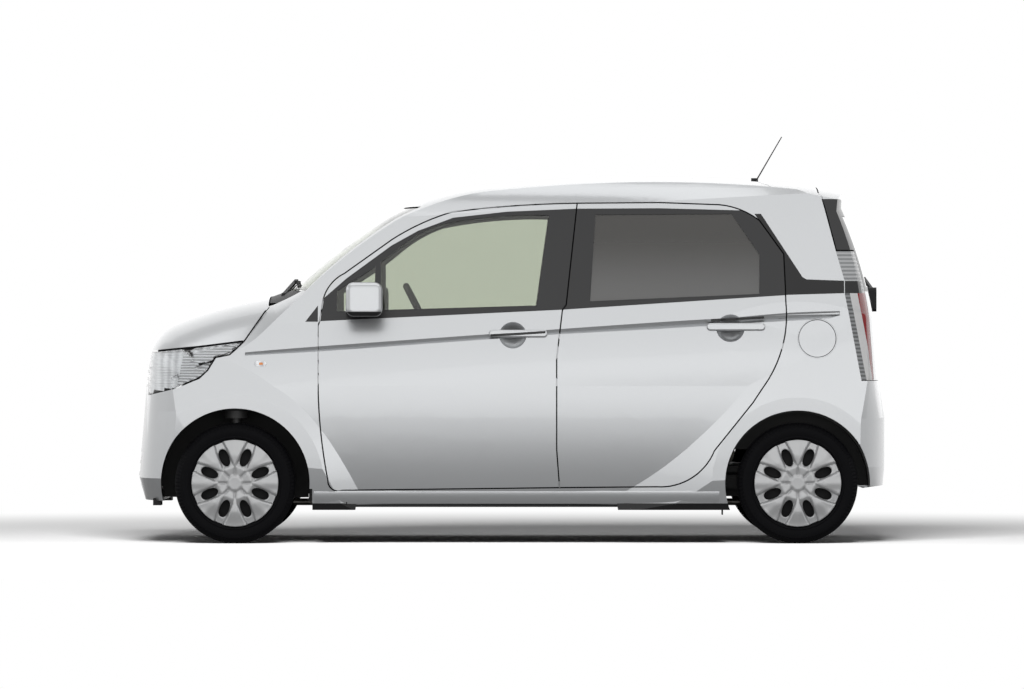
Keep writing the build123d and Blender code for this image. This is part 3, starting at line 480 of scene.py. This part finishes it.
def window_half(along):
    return 0.0235 + 0.003 * along


def window_place(radius, angle):
    """The nearest window's angle, and a place along and across it in shares of its oval."""
    sector = 2 * math.pi / SPOKES
    middle = (math.floor(angle / sector) + 0.5) * sector
    along = (radius - WINDOW_RADIUS) / WINDOW_REACH
    return middle, along, (angle - middle) * radius / window_half(along)


def window_edge(radius, angle):
    """Radius and angle of the nearest point on a window's edge."""
    middle, along, across = window_place(radius, angle)
    share = math.hypot(along, across)
    along, across = along / share, across / share
    radius = WINDOW_RADIUS + WINDOW_REACH * along
    return radius, middle + across * window_half(along) / radius


def wheel_cover(name, x, side, body, node):
    places, faces, kept, dropped = [], [], set(), set()
    radii = [0.004 + (COVER_RADIUS - 0.004) * k / (COVER_ROWS - 1) for k in range(COVER_ROWS)]
    face_y = tyre_width / 2
    for i in range(COVER_COLUMNS):
        places += [(radius, 2 * math.pi * i / COVER_COLUMNS) for radius in radii]
        n = (i + 1) % COVER_COLUMNS
        for k in range(COVER_ROWS - 1):
            _, along, across = window_place((radii[k] + radii[k + 1]) / 2,
                                            2 * math.pi * (i + 0.5) / COVER_COLUMNS)
            a, b = i * COVER_ROWS + k, n * COVER_ROWS + k
            corners = (a, b, b + 1, a + 1)
            if math.hypot(along, across) < 1.0:
                dropped.update(corners)
                continue
            kept.update(corners)
            faces.append(corners)
    for i in kept & dropped:
        places[i] = window_edge(*places[i])
    verts = [(radius * math.sin(angle), face_y + cover_height(radius, angle), radius * math.cos(angle))
             for radius, angle in places]
    hub = len(verts)
    verts.append((0, face_y + cover_height(0.0, 0.0), 0))
    for i in range(COVER_COLUMNS):
        faces.append((hub, ((i + 1) % COVER_COLUMNS) * COVER_ROWS, i * COVER_ROWS))
    verts = moved(verts, x, side * wheel_y, wheel_radius, side)
    made = piece(name, verts, turned_faces(faces, side), "cover", body)
    thick = made.modifiers.new("thickness", "SOLIDIFY")
    thick.thickness, thick.offset = 0.0025, -1
    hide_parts(node)
    return made


RIM_PROFILE = [(0.020, -0.110), (0.020, -0.046), (0.100, -0.046), (0.100, 0.004), (0.164, 0.004),
               (0.164, -0.052), (0.186, -0.052), (0.186, 0.044), (0.183, 0.048), (0.170, 0.048),
               (0.165, 0.014), (0.060, 0.022), (0.001, 0.022), (0.001, -0.110)]


def wheels():
    for end, x in (("front", front_axle_x), ("rear", rear_axle_x)):
        for label, side in SIDES:
            tag = f"{end}_{label}"
            body = f"wheel_{tag}"
            verts, faces = ring_grid(tyre_profile(), TYRE_COLUMNS, rib)
            tyre = piece(f"tyre_tread_{tag}", moved(verts, x, side * wheel_y, wheel_radius, side),
                         turned_faces(faces, -side), "tyre", body)
            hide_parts(f"tyre_{tag}")
            verts, faces = ring_grid(RIM_PROFILE, RIM_COLUMNS)
            rim = piece(f"rim_{tag}", moved(verts, x, side * wheel_y, wheel_radius, side),
                        turned_faces(faces, side), "rim", body)
            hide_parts(f"wheel_{tag}")
            wheel_cover(f"wheel_cover_{tag}", x, side, body, f"wheel_{tag}")


wheels()


# ---------------------------------------------------------------- lamps
def split_lamp(name, label):
    """Clear lens, reflector a little behind it, and the black housing, from the CAD lamp's faces."""
    source = nodes[f"{name}_{label}"]
    outward = Vector((0, -1 if label == "left" else 1, 0))
    ahead = Vector((-1, 0, 0))
    for part, material, inset in (("lens", "lens", 0.0), ("reflector", "reflector", 0.008),
                                  ("housing", "gloss_black", 0.011)):
        mesh = source.data.copy()
        mesh.materials.clear()
        mesh.materials.append(MATERIAL[material])
        mesh.polygons.foreach_set("material_index", [0] * len(mesh.polygons))
        made = bpy.data.objects.new(f"{name}_{part}_{label}", mesh)
        bpy.context.scene.collection.objects.link(made)
        work = bmesh.new()
        work.from_mesh(mesh)
        bmesh.ops.remove_doubles(work, verts=work.verts, dist=1e-5)
        work.normal_update()

        def is_lens(face):
            n = face.normal
            return max(n.dot(outward), n.dot(ahead)) > 0.5 and abs(n.z) < 0.75

        drop = [f for f in work.faces if is_lens(f) == (part == "housing")]
        bmesh.ops.delete(work, geom=drop, context="FACES")
        bmesh.ops.translate(work, verts=work.verts, vec=(outward + ahead) * -inset)
        work.to_mesh(mesh)
        work.free()
        mesh.shade_smooth()
        mesh.set_sharp_from_angle(angle=math.radians(30))
        thick = made.modifiers.new("thickness", "SOLIDIFY")
        thick.thickness, thick.offset = 0.0022, -1
        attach(made, "root")
        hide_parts(source.name)


for label, side in SIDES:
    split_lamp("headlamp", label)


# ---------------------------------------------------------------- small outside pieces
def surface(*names):
    """Ray-casting tree of some CAD nodes."""
    verts, faces = [], []
    for name in names:
        first = len(verts)
        verts += [v.co.copy() for v in nodes[name].data.vertices]
        faces += [[first + k for k in p.vertices] for p in nodes[name].data.polygons]
    return BVHTree.FromPolygons(verts, faces)


def skin_y(tree, x, z, side):
    """How far out (y) the surface lies at x, z, met from outside."""
    hit = tree.ray_cast(Vector((x, side * 1.3, z)), Vector((0, -side, 0)), 1.0)[0]
    return hit.y if hit else None


def on_skin(name, tree, outline, side, proud, material, body="root", smooth=True):
    """Thin plate laid on the surface: outline(t) and shrunken copies of it, closed in the middle."""
    count = 48
    points = [outline(i / count) for i in range(count)]
    cx = sum(p[0] for p in points) / count
    cz = sum(p[1] for p in points) / count
    verts, faces = [], []
    for share, height in proud:
        for x, z in points:
            px, pz = cx + (x - cx) * share, cz + (z - cz) * share
            verts.append((px, skin_y(tree, px, pz, side) + side * height, pz))
    for k in range(len(proud) - 1):
        for i in range(count):
            j = (i + 1) % count
            faces.append((k * count + i, k * count + j, (k + 1) * count + j, (k + 1) * count + i))
    last = (len(proud) - 1) * count
    if proud[-1][0] < 0.7 and len(proud) > 2:
        faces.append(tuple(last + i for i in range(count)))
    return piece(name, verts, turned_faces(faces, side), material, body, smooth)


def rounded(cx, cz, half_x, half_z, power=4.0):
    def outline(t):
        c, s = math.cos(2 * math.pi * t), math.sin(2 * math.pi * t)
        return (cx + half_x * math.copysign(abs(c) ** (2 / power), c),
                cz + half_z * math.copysign(abs(s) ** (2 / power), s))
    return outline


def box_piece(name, low, high, material, body="root"):
    (x0, y0, z0), (x1, y1, z1) = low, high
    verts = [(x, y, z) for x in (x0, x1) for y in (y0, y1) for z in (z0, z1)]
    faces = [(0, 1, 3, 2), (4, 6, 7, 5), (0, 4, 5, 1), (2, 3, 7, 6), (0, 2, 6, 4), (1, 5, 7, 3)]
    return piece(name, verts, faces, material, body, smooth=False)


def sided_box(name, low, high, side, material, body="root"):
    """Box given as it lies on the right side, mirrored when side is -1."""
    (x0, y0, z0), (x1, y1, z1) = low, high
    near, far = sorted((side * y0, side * y1))
    return box_piece(name, (x0, near, z0), (x1, far, z1), material, body)


def ribbon(name, tree, line, width, side, material, body="root", proud=0.0010, step=0.012):
    """Thin strip hugging the surface along a line of (x, z) points."""
    path = []
    for (x0, z0), (x1, z1) in zip(line, line[1:]):
        count = max(1, round(math.hypot(x1 - x0, z1 - z0) / step))
        path += [(x0 + (x1 - x0) * k / count, z0 + (z1 - z0) * k / count) for k in range(count)]
    path.append(line[-1])
    rows = []
    for k, (x, z) in enumerate(path):
        (ax, az), (bx, bz) = path[max(0, k - 1)], path[min(len(path) - 1, k + 1)]
        length = math.hypot(bx - ax, bz - az)
        nx, nz = -(bz - az) / length, (bx - ax) / length
        edges = [(x + share * width * nx, z + share * width * nz) for share in (0.5, -0.5)]
        near = [(x + share * width * nx, z + share * width * nz) for share in (0.9, -0.9)]
        levels = [skin_y(tree, px, pz, side) for px, pz in edges + near]
        known = [side * y for y in levels if y is not None]
        if not known:
            continue
        out = max(known)
        row = []
        for (px, pz), y in zip(edges, levels):
            sunk = y is None or side * y < out - 0.004
            row.append((px, side * (out if sunk else side * y) + side * proud, pz))
        rows.append(row)
    verts = [point for row in rows for point in row]
    faces = [(2 * k, 2 * k + 1, 2 * k + 3, 2 * k + 2) for k in range(len(rows) - 1)]
    return piece(name, verts, turned_faces(faces, -side), material, body)


# Width and line of the rubber seals round the headlamp and along the bonnet's rear edge
LAMP_SEALS = [(0.009, [(-1.592, 0.8625), (-1.40, 0.881), (-1.202, 0.9055)]),
              (0.0065, [(-1.199, 0.905), (-1.138, 0.995), (-1.105, 1.044)]),
              (0.0065, [(-1.201, 0.903), (-1.262, 0.846), (-1.326, 0.833), (-1.361, 0.776),
                        (-1.398, 0.741)])]
MARKER = (-1.124, 0.805)
FUEL_LID = (1.369, 0.918, 0.085)


def sill_skirt(label, side):
    """Rocker cover from arch to arch, with the black pinch flange under it."""
    tree = surface(f"side_frame_{label}", f"front_fender_{label}")
    x_start, x_end, count, top = -0.885, 0.930, 61, 0.226
    xs = [x_start + (x_end - x_start) * k / (count - 1) for k in range(count)]
    out = [abs(skin_y(tree, x, top, side) or skin_y(tree, x + 0.03, top, side)) for x in xs]
    out = [max(out[max(0, k - 3):k + 4]) for k in range(count)]
    for _ in range(10):
        out = [sum(out[max(0, k - 1):k + 2]) / len(out[max(0, k - 1):k + 2]) for k in range(count)]
    section = [(-0.0010, 0.236), (0.0020, 0.232), (0.0022, 0.222), (-0.0005, 0.205), (-0.0040, 0.190),
               (-0.0085, 0.178), (-0.016, 0.173), (-0.030, 0.171), (-0.030, 0.215)]
    verts = [(x, side * (y + dy), z) for x, y in zip(xs, out) for dy, z in section]
    rows, faces = len(section), []
    for k in range(count - 1):
        for j in range(rows - 1):
            a = k * rows + j
            faces.append((a, a + 1, a + rows + 1, a + rows))
    faces.append(tuple(range(rows)))
    faces.append(tuple(reversed(range((count - 1) * rows, count * rows))))
    piece(f"sill_skirt_{label}", verts, turned_faces(faces, -side), "panel")
    sided_box(f"pinch_flange_{label}", (-0.86, 0.672, 0.163), (0.91, 0.692, 0.182), side,
              "black_plastic")


HANDLE_STRIPS = {"front": [(-0.0943, 0.9315), (0.03, 0.9385), (0.1520, 0.9465)],
                 "rear": [(0.8930, 0.9990), (1.01, 1.0055), (1.1310, 1.0115)]}
# line of the seam between fender and sill, where a black strip of painted shade lies
SILL_SEAM = [(-0.738, 0.243), (-0.738, 0.175)]

# Black rubber pieces under the body, as their box corners on the right side
DEFLECTORS = {"air_deflector": ((-1.612, 0.44, 0.168), (-1.576, 0.575, 0.200)),
              "mud_deflector": ((0.9425, 0.60, 0.128), (0.9475, 0.70, 0.225))}


def small_pieces():
    for label, side in SIDES:
        fender = surface(f"front_fender_{label}")
        x, z = MARKER
        on_skin(f"side_marker_base_{label}", fender, rounded(x, z, 0.027, 0.0125), side,
                [(1.0, 0.0), (0.98, 0.0015), (0.5, 0.0018)], "reflector", smooth=False)
        on_skin(f"side_marker_bulb_{label}", fender, rounded(x + 0.002, z, 0.009, 0.006), side,
                [(1.0, 0.001), (0.9, 0.0032), (0.5, 0.0036)], "amber", smooth=False)
        on_skin(f"side_marker_lens_{label}", fender, rounded(x, z, 0.026, 0.0115), side,
                [(1.0, 0.0016), (0.94, 0.0045), (0.5, 0.0058)], "lens")
        for end, line in HANDLE_STRIPS.items():
            tree = surface(f"door_{end}_{label}")
            ribbon(f"handle_strip_{end}_{label}", tree, line, 0.011, side, "gloss_black",
                   f"door_{end}_{label}")
        sill_skirt(label, side)
        sill = surface(f"side_frame_{label}", f"front_fender_{label}")
        # black strip painted as the shade in the seam between fender and sill
        ribbon(f"sill_seam_shade_{label}", sill, SILL_SEAM, 0.004, side, "gap_shade_and_seal", proud=0.0035)
        low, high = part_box(f"door_mirror_{label}")
        outer_y = max(abs(low.y), abs(high.y))
        glass_x = high.x - 0.0065
        sided_box(f"mirror_glass_{label}", (glass_x - 0.002, outer_y - 0.130, 1.040),
                  (glass_x, outer_y - 0.020, 1.144), side, "mirror", f"door_front_{label}")
        front = surface(f"headlamp_{label}", f"front_fender_{label}", "bonnet", "front_bumper")
        for k, (width, line) in enumerate(LAMP_SEALS):
            ribbon(f"headlamp_seal_{k}_{label}", front, line, width, side, "gap_shade_and_seal")
        for name, corners in DEFLECTORS.items():
            sided_box(f"{name}_{label}", *corners, side, "black_plastic")
    lid_tree = surface("side_frame_left", "fuel_lid")
    x, z, radius = FUEL_LID
    # black ring painted as the shade in the gap round the fuel lid
    ring = [(1.0, 0.0012), (1.075, 0.0012)]
    on_skin("fuel_lid_gap_shade", lid_tree, rounded(x, z, radius - 0.002, radius - 0.002, 2.0), -1, ring,
            "gap_shade_and_seal")


small_pieces()


# ---------------------------------------------------------------- soft seats
PAD_VOXEL = 0.012
PAD_CAP = 0.022
PAD_FRAMES = 20


def pad_shape(name, low, high, lean, pivot, round_by, node):
    """Rounded block between two corners, leaned back about a level line through pivot (x, z)."""
    mesh = bpy.data.meshes.new(name)
    made = bpy.data.objects.new(name, mesh)
    bpy.context.scene.collection.objects.link(made)
    work = bmesh.new()
    bmesh.ops.create_cube(work, size=1.0)
    size = [b - a for a, b in zip(low, high)]
    middle = [(a + b) / 2 for a, b in zip(low, high)]
    for v in work.verts:
        v.co = Vector([middle[k] + v.co[k] * size[k] for k in range(3)])
    bmesh.ops.bevel(work, geom=list(work.edges), offset=round_by, segments=4, profile=0.5, affect="EDGES")
    cos, sin = math.cos(lean), math.sin(lean)
    for v in work.verts:
        dx, dz = v.co.x - pivot[0], v.co.z - pivot[1]
        v.co.x, v.co.z = pivot[0] + dx * cos + dz * sin, pivot[1] - dx * sin + dz * cos
    work.to_mesh(mesh)
    work.free()
    mesh.materials.append(MATERIAL["fabric"])
    remesh = made.modifiers.new("even", "REMESH")
    remesh.mode, remesh.voxel_size = "VOXEL", PAD_VOXEL
    bake(made)
    made["node"] = node
    return made


def bake(made):
    """Applies the modifiers of a piece to its mesh."""
    graph = bpy.context.evaluated_depsgraph_get()
    mesh = bpy.data.meshes.new_from_object(made.evaluated_get(graph))
    made.modifiers.clear()
    made.data = mesh


def puff(pads):
    """Swells the pads by cloth under pressure; no point moves more than PAD_CAP."""
    scene = bpy.context.scene
    start = {made.name: [v.co.copy() for v in made.data.vertices] for made in pads}
    for made in pads:
        cloth = made.modifiers.new("puff", "CLOTH")
        cloth.settings.use_pressure = True
        cloth.settings.uniform_pressure_force = 4.0
        cloth.settings.effector_weights.gravity = 0.0
        cloth.point_cache.frame_start, cloth.point_cache.frame_end = 1, PAD_FRAMES
    for frame_number in range(1, PAD_FRAMES + 1):
        scene.frame_set(frame_number)
    graph = bpy.context.evaluated_depsgraph_get()
    for made in pads:
        swollen = [v.co.copy() for v in made.evaluated_get(graph).data.vertices]
        made.modifiers.clear()
        for vertex, before, after in zip(made.data.vertices, start[made.name], swollen):
            move = after - before
            if move.length > PAD_CAP:
                move *= PAD_CAP / move.length
            vertex.co = before + move
    scene.frame_set(1)


def sew(made, places, depth=0.006, width=0.010):
    """Sewn channels: the surface sinks along lengthwise planes at these places across the car."""
    for vertex in made.data.vertices:
        for place in places:
            gap = abs(vertex.co.y - place)
            if gap < 3 * width:
                vertex.co -= vertex.normal * depth * math.exp(-((gap / width) ** 2))


SEAM_HALF = 0.13                         # from a pad's middle to each sewn channel
BENCH_SPAN = (0.008, 0.520)              # inner and outer edge of half a bench


def seats():
    pads = []
    for label, side in SIDES:
        node = f"front_seat_{label}"
        low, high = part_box(node)
        y, half = (low.y + high.y) / 2, (high.y - low.y) / 2 - 0.014
        foot, top = low.x + 0.010, 0.572
        pads.append(pad_shape(f"seat_cushion_{label}", (foot, y - half, 0.440),
                              (foot + 0.470, y + half, top), 0.0, (0, 0), 0.040, node))
        pads.append(pad_shape(f"seat_back_{label}", (0.150, y - half + 0.012, 0.560),
                              (0.245, y + half - 0.012, 1.130), 0.185, (0.20, 0.56), 0.035, node))
        pads.append(pad_shape(f"headrest_{label}", (0.282, y - 0.108, 1.165), (0.350, y + 0.108, 1.305),
                              0.03, (0.31, 1.23), 0.028, node))
    low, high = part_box("rear_bench")
    for label, side in SIDES:
        y0, y1 = sorted(side * y for y in BENCH_SPAN)
        pads.append(pad_shape(f"bench_cushion_{label}", (low.x + 0.012, y0, low.z + 0.012),
                              (low.x + 0.420, y1, low.z + 0.158), 0.0, (0, 0), 0.040, "rear_bench"))
        pads.append(pad_shape(f"bench_back_{label}", (1.020, y0, 0.500), (1.080, y1, 1.105), 0.125,
                              (1.04, 0.50), 0.026, "rear_bench"))
    puff(pads)
    for made in pads:
        node = made["node"]
        del made["node"]
        low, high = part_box(node)
        middle = (low.y + high.y) / 2
        if node == "rear_bench":
            middle = sum(BENCH_SPAN) / 2 * (1 if made.name.endswith("right") else -1)
        if not made.name.startswith("headrest"):
            sew(made, (middle - SEAM_HALF, middle + SEAM_HALF))
        smooth = made.modifiers.new("smooth", "SUBSURF")
        smooth.levels = smooth.render_levels = 1
        made.data.shade_smooth()
        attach(made, "root")
        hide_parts(node)
    for label, side in SIDES:
        low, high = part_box(f"front_seat_{label}")
        y = (low.y + high.y) / 2
        box_piece(f"seat_base_{label}", (low.x + 0.07, y - 0.18, 0.215), (low.x + 0.43, y + 0.18, 0.445),
                  "dark_trim")
        for k in (-1, 1):
            box_piece(f"headrest_post_{label}_{k + 1}", (0.306, y + k * 0.05 - 0.005, 1.10),
                      (0.316, y + k * 0.05 + 0.005, 1.19), "dull_steel")


seats()


# ---------------------------------------------------------------- studio
def studio():
    world = bpy.data.worlds.new("studio")
    bpy.context.scene.world = world
    world.use_nodes = True
    tree = world.node_tree
    ground = tree.nodes["Background"]
    paths = tree.nodes.new("ShaderNodeLightPath")
    seen = None
    for ray in ("Is Camera Ray", "Is Glossy Ray", "Is Transmission Ray"):
        if seen is None:
            seen = paths.outputs[ray]
            continue
        node = tree.nodes.new("ShaderNodeMath")
        node.operation = "MAXIMUM"
        tree.links.new(seen, node.inputs[0])
        tree.links.new(paths.outputs[ray], node.inputs[1])
        seen = node.outputs[0]
    level = tree.nodes.new("ShaderNodeMapRange")
    level.inputs["To Min"].default_value = 0.15
    level.inputs["To Max"].default_value = 1.0
    tree.links.new(seen, level.inputs["Value"])
    tree.links.new(level.outputs[0], ground.inputs["Strength"])
    ground.inputs["Color"].default_value = (1, 1, 1, 1)

    floor_half = 60.0
    mesh = bpy.data.meshes.new("floor")
    mesh.from_pydata([(-floor_half, -floor_half, 0), (floor_half, -floor_half, 0),
                      (floor_half, floor_half, 0), (-floor_half, floor_half, 0)], [], [(0, 1, 2, 3)])
    floor = bpy.data.objects.new("floor", mesh)
    bpy.context.scene.collection.objects.link(floor)
    shader = Shader("pale_floor", roughness=0.9, specular=0.1)
    path = shader.add("ShaderNodeLightPath")
    pale = shader.speckle((0.97, 0.97, 0.97), 2, 0.01)
    shader.base(shader.mix(path.outputs["Is Camera Ray"], (0.26, 0.26, 0.26), pale))
    distance = shader.add("ShaderNodeVectorMath", operation="LENGTH")
    shader.link(shader.position(), distance.inputs[0])
    far = shader.add("ShaderNodeMapRange", interpolation_type="SMOOTHSTEP")
    far.inputs["From Min"].default_value = 2.6
    far.inputs["From Max"].default_value = 6.0
    shader.link(distance.outputs["Value"], far.inputs["Value"])
    glow = shader.add("ShaderNodeEmission")
    mixer = shader.add("ShaderNodeMixShader")
    shown = shader.math("MAXIMUM", path.outputs["Is Camera Ray"], path.outputs["Is Glossy Ray"])
    shown = shader.math("MAXIMUM", shown, path.outputs["Is Transmission Ray"])
    shader.link(shader.math("MULTIPLY", far.outputs[0], shown), mixer.inputs[0])
    shader.link(shader.bsdf.outputs[0], mixer.inputs[1])
    shader.link(glow.outputs[0], mixer.inputs[2])
    shader.link(mixer.outputs[0], shader.tree.nodes["Material Output"].inputs[0])
    mesh.materials.append(shader.material)
    return floor


def softbox(name, place, target, size, radiance):
    lamp = bpy.data.lights.new(name, "AREA")
    lamp.shape = "RECTANGLE"
    lamp.size, lamp.size_y = size
    lamp.energy = radiance * math.pi * size[0] * size[1]
    made = bpy.data.objects.new(name, lamp)
    bpy.context.scene.collection.objects.link(made)
    made.location = place
    made.rotation_euler = (Vector(target) - Vector(place)).to_track_quat("-Z", "Y").to_euler()
    made.visible_camera = False
    made.visible_transmission = False
    return made


def lights(floor):
    """Soft boxes light the car; one key lamp lights the floor and throws the car's shadow on it."""
    boxes = [softbox("overhead", (0, -0.8, 5.4), (0, 0, 0.6), (7.0, 3.6), 1.05),
             softbox("horizon_left", (0, -9.0, 1.2), (0, 0, 1.2), (14.0, 1.9), 1.3),
             softbox("wall_left", (0, -8.9, 5.0), (0, 0, 1.4), (14.0, 5.6), 0.72),
             softbox("wall_right", (0, 8.2, 4.6), (0, 0, 1.2), (14.0, 8.4), 0.42),
             softbox("front_wall", (-9.0, 0, 3.2), (0, 0, 1.4), (9.0, 3.6), 0.8),
             softbox("rear_wall", (9.0, 0, 3.2), (0, 0, 1.4), (9.0, 3.6), 0.8)]
    key = softbox("floor_key", (-0.6, -7.5, 6.2), (0, 0, 0), (4.5, 3.4), 26.0)
    for name, state, lamps in (("floor_only", "INCLUDE", [key]), ("all_but_floor", "EXCLUDE", boxes)):
        group = bpy.data.collections.new(name)
        group.objects.link(floor)
        group.collection_objects[0].light_linking.link_state = state
        for lamp in lamps:
            lamp.light_linking.receiver_collection = group


def camera():
    """Long lens square to the left side, at about door-handle height."""
    distance, eye_height = 33.0, 0.891
    seen_width = 4.686                       # at the car's middle plane
    data = bpy.data.cameras.new("side_view")
    data.sensor_width = 36.0
    data.lens = data.sensor_width * distance / seen_width
    data.clip_end = 200.0
    made = bpy.data.objects.new("side_view", data)
    bpy.context.scene.collection.objects.link(made)
    made.location = (0.002, -distance, eye_height)
    made.rotation_euler = (math.radians(90), 0, 0)
    bpy.context.scene.camera = made


lights(studio())
camera()
bpy.context.scene.view_settings.view_transform = "Standard"
